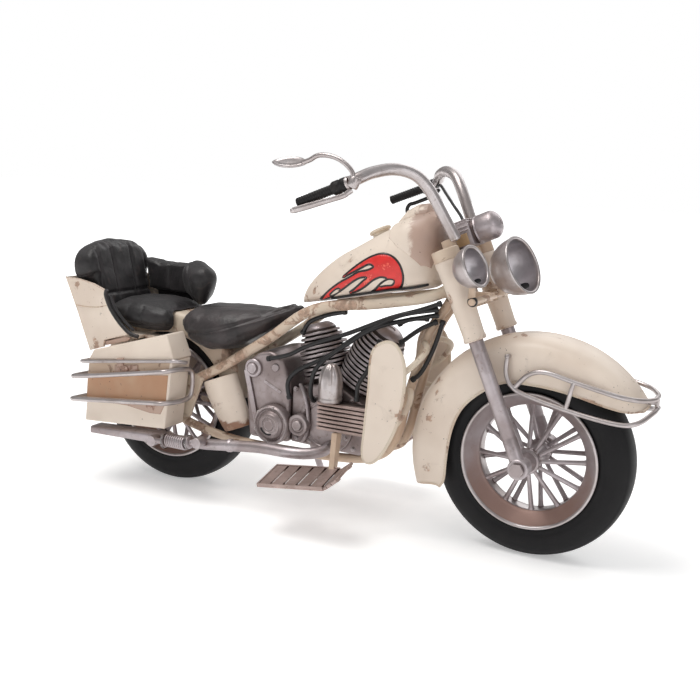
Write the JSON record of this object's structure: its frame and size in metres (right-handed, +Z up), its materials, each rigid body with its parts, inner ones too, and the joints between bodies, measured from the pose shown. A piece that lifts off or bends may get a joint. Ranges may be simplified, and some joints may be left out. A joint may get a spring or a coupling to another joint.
{
  "type": "tin motorcycle",
  "caption": "Decorative tin touring motorcycle: spoked wheels that roll, a raked fork that steers, a fold-back side stand, panniers and a padded armchair pillion seat.",
  "frame": {"origin": "middle of the footprint, on the ground under both tyres", "axes": "+X forwards, +Y to the bike's left, +Z up"},
  "size_m": [0.3713, 0.1285, 0.214],
  "materials": {
    "cream_paint": "aged cream enamel with rubbed edges",
    "worn_tan": "cream worn through to tan and rust",
    "silver_paint": "warm grey silver with brown patina",
    "bright_wire": "dull bright plating",
    "bronze_patina": "bronze-brown patina",
    "black_leather": "black-brown leatherette, soft sheen",
    "tyre_rubber": "satin black rubber",
    "black_rubber": "black sleeve",
    "rust_copper": "copper-brown rust"
  },
  "bodies": {
    "frame": {"head_tube": "cream_paint", "rear_plates": "cream_paint", "top_rails": "cream_paint", "fuel_tank": "cream_paint", "tank_cap": "cream_paint", "oil_tank": "cream_paint", "leg_shields": "cream_paint", "panniers": "cream_paint", "pannier_lids": "cream_paint", "seat_shell": "cream_paint", "rear_fender": "cream_paint", "cradle": "worn_tan", "tank_console": "worn_tan", "stand_bracket": "silver_paint", "crankcase": "silver_paint", "gearbox_case": "silver_paint", "clutch_cover": "silver_paint", "rear_cylinder": "silver_paint", "front_cylinder": "silver_paint", "intake_dome": "silver_paint", "crash_rods": "silver_paint", "exhaust_pipe": "silver_paint", "muffler": "silver_paint", "spring_strut": "silver_paint", "rear_axle": "silver_paint", "pannier_rails": "bright_wire", "generator": "bronze_patina", "footboards": "bronze_patina", "saddle": "black_leather", "pillion_cushion": "black_leather", "backrest": "black_leather", "arm_pad": "black_leather", "hoses": "black_rubber", "pannier_latches": "rust_copper"},
    "steering": {"steering_stem": "worn_tan", "upper_yoke": "worn_tan", "fork_covers": "cream_paint", "fork_legs": "silver_paint", "front_axle": "silver_paint", "handlebar": "silver_paint", "grips": "black_rubber", "levers": "black_rubber", "side_mirror": "silver_paint", "bar_cable": "black_rubber", "headlight": "silver_paint", "spot_lamps": "silver_paint", "lamp_bar": "silver_paint", "instrument_pod": "silver_paint", "front_fender": "cream_paint", "fender_guard": "bright_wire"},
    "front_wheel": {"front_tyre": "tyre_rubber", "front_rim": "silver_paint", "front_spokes": "silver_paint", "front_hub": "silver_paint"},
    "rear_wheel": {"rear_tyre": "tyre_rubber", "rear_rim": "silver_paint", "rear_spokes": "silver_paint", "rear_hub": "silver_paint"},
    "side_stand": {"side_stand": "silver_paint"}
  },
  "joints": [
    {"name": "steering", "type": "hinge", "parent": "frame", "child": "steering", "pos_m": [0.07276, 0, 0.14862], "axis": [-0.4051, 0, 0.9143], "range_deg": [-25, 25]},
    {"name": "front_wheel_spin", "type": "hinge", "parent": "steering", "child": "front_wheel", "pos_m": [0.1219, 0, 0.055], "axis": [0, 1, 0], "continuous": true},
    {"name": "rear_wheel_spin", "type": "hinge", "parent": "frame", "child": "rear_wheel", "pos_m": [-0.1165, 0, 0.055], "axis": [0, 1, 0], "continuous": true},
    {"name": "side_stand_fold", "type": "hinge", "parent": "frame", "child": "side_stand", "pos_m": [-0.0325, 0.0242, 0.04], "axis": [0, 1, 0], "range_deg": [0, 75]}
  ]
}
